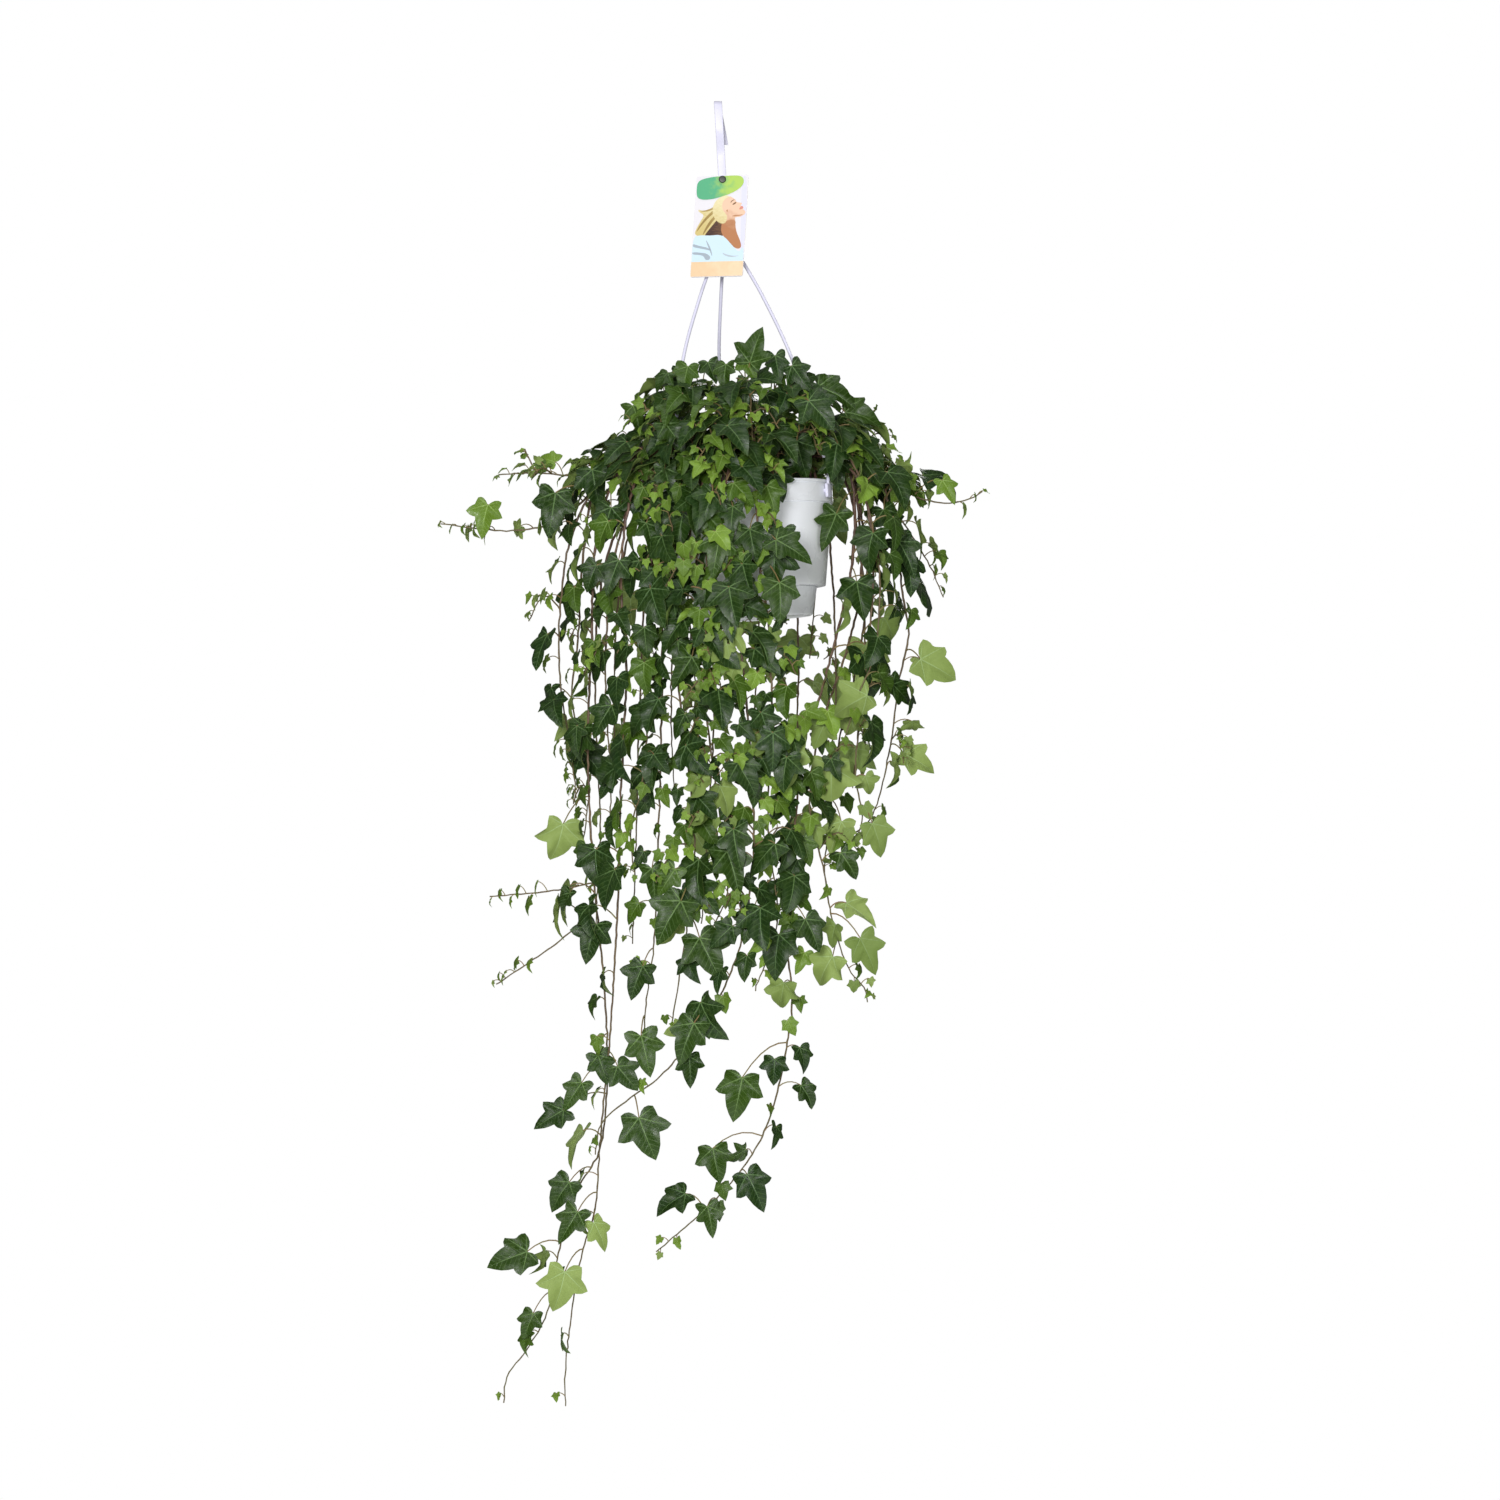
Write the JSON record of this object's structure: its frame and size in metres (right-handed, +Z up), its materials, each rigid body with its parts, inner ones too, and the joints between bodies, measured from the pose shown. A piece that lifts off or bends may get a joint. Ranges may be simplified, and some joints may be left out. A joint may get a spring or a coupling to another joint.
{
  "type": "potted ivy",
  "caption": "Trailing ivy with lobed leaves growing in a round plastic hanging pot with a saucer, held by thin strands below a flat hook, with a card tag.",
  "frame": {"origin": "the point inside the hook's bend that bears on the rail or nail that it hangs from", "axes": "+Z up, +X to the right and +Y away from the front, which is the side that the tag faces"},
  "size_m": [0.6076, 0.3799, 1.4538],
  "materials": {
    "hanger_plastic": "satin",
    "pot_plastic": "satin",
    "potting_soil": "matte",
    "tag_card": "satin",
    "stud_plastic": "satin",
    "ivy": "satin"
  },
  "bodies": {
    "root": {"hanger_hook": "hanger_plastic", "hanger_strand_1": "hanger_plastic", "hanger_strand_2": "hanger_plastic", "hanger_strand_3": "hanger_plastic", "pot": "pot_plastic", "saucer": "pot_plastic", "soil": "potting_soil", "tag": "tag_card", "tag_stud": "stud_plastic", "vine_left_long": "ivy", "vine_left_pale": "ivy", "vine_front_crossing": "ivy", "vine_right_long": "ivy", "vine_right_curl": "ivy", "vine_right_outer": "ivy", "vine_right_inner": "ivy", "vine_front_middle": "ivy", "vine_front_left": "ivy", "vine_left_front": "ivy", "vine_front_bright": "ivy", "vine_front_right": "ivy", "vine_right_front": "ivy", "vine_right_back": "ivy", "vine_left_outer": "ivy", "vine_left_wide": "ivy", "vine_left_inner": "ivy", "vine_front_short": "ivy", "vine_left_low": "ivy", "shoot_left_upper": "ivy", "shoot_left_lower": "ivy", "shoot_right_upper": "ivy", "shoot_right_lower": "ivy", "vine_back_right": "ivy", "vine_back_right_long": "ivy", "vine_back_middle": "ivy", "vine_back": "ivy", "vine_back_left_long": "ivy", "vine_back_left": "ivy", "vine_left_back_long": "ivy", "vine_left_back": "ivy", "vine_left_side": "ivy", "vine_back_right_short": "ivy", "vine_back_left_short": "ivy", "crown_right": "ivy", "crown_front_left": "ivy", "crown_front": "ivy", "crown_left": "ivy", "crown_back": "ivy", "crown_front_right": "ivy"}
  },
  "joints": []
}
